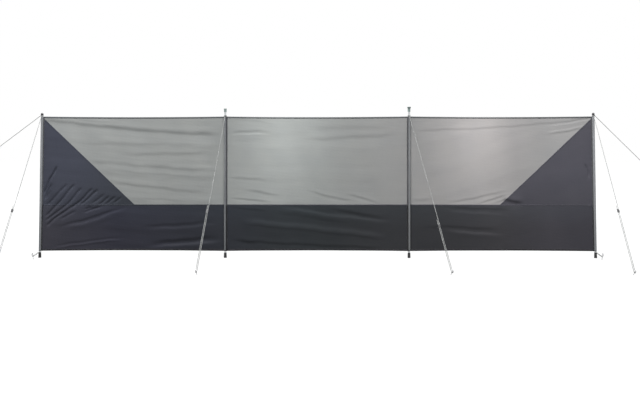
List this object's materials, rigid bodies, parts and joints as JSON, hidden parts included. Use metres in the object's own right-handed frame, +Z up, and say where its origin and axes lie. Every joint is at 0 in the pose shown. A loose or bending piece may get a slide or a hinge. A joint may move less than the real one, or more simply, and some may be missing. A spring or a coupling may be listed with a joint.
{
  "type": "beach windbreak",
  "caption": "Long cloth screen on upright poles that breaks the wind, in light and dark grey bays held up by guy lines and pegs.",
  "frame": {"origin": "centre of the flat underside of the left end pole's foot, on the ground", "axes": "+X along the cloth from the left end to the right end, +Z up, the front faces -Y"},
  "size_m": [8.3455, 2.3677, 1.3687],
  "materials": {
    "pole_steel": "zinc-plated",
    "black_rubber": "matte",
    "black_plastic": "moulded",
    "grey_green_plastic": "moulded",
    "light_cloth": "woven, slight sheen",
    "dark_cloth": "woven, slight sheen",
    "sleeve_cloth": "woven",
    "tape_cloth": "woven tape",
    "guy_cord": "braided",
    "peg_steel": "zinc-plated wire"
  },
  "bodies": {
    "root": {"pole_upper_left_end": "pole_steel", "pole_upper_left_middle": "pole_steel", "pole_upper_right_middle": "pole_steel", "pole_upper_right_end": "pole_steel", "pole_lower_left_end": "pole_steel", "pole_lower_left_middle": "pole_steel", "pole_lower_right_middle": "pole_steel", "pole_lower_right_end": "pole_steel", "foot_left_end": "black_rubber", "foot_left_middle": "black_rubber", "foot_right_middle": "black_rubber", "foot_right_end": "black_rubber", "knob_left_end": "black_plastic", "knob_right_end": "black_plastic", "runners_front": "black_plastic", "runners_rear": "black_plastic", "cap_left_middle": "grey_green_plastic", "cap_right_middle": "grey_green_plastic", "panel_light_left": "light_cloth", "panel_light_middle": "light_cloth", "panel_light_right": "light_cloth", "band_left": "dark_cloth", "band_middle": "dark_cloth", "band_right": "dark_cloth", "triangle_left": "dark_cloth", "triangle_right": "dark_cloth", "sleeve_left_end": "sleeve_cloth", "sleeve_left_middle": "sleeve_cloth", "sleeve_right_middle": "sleeve_cloth", "sleeve_right_end": "sleeve_cloth", "top_hem": "tape_cloth", "bottom_hem": "tape_cloth", "guy_front_left_end": "guy_cord", "guy_front_left_middle": "guy_cord", "guy_front_right_middle": "guy_cord", "guy_front_right_end": "guy_cord", "guy_side_left": "guy_cord", "guy_side_right": "guy_cord", "guy_back_left_middle": "guy_cord", "guy_back_right_middle": "guy_cord", "foot_loop_left": "guy_cord", "foot_loop_right": "guy_cord", "pegs_front": "peg_steel", "pegs_rear": "peg_steel", "foot_pegs": "peg_steel"}
  },
  "joints": []
}
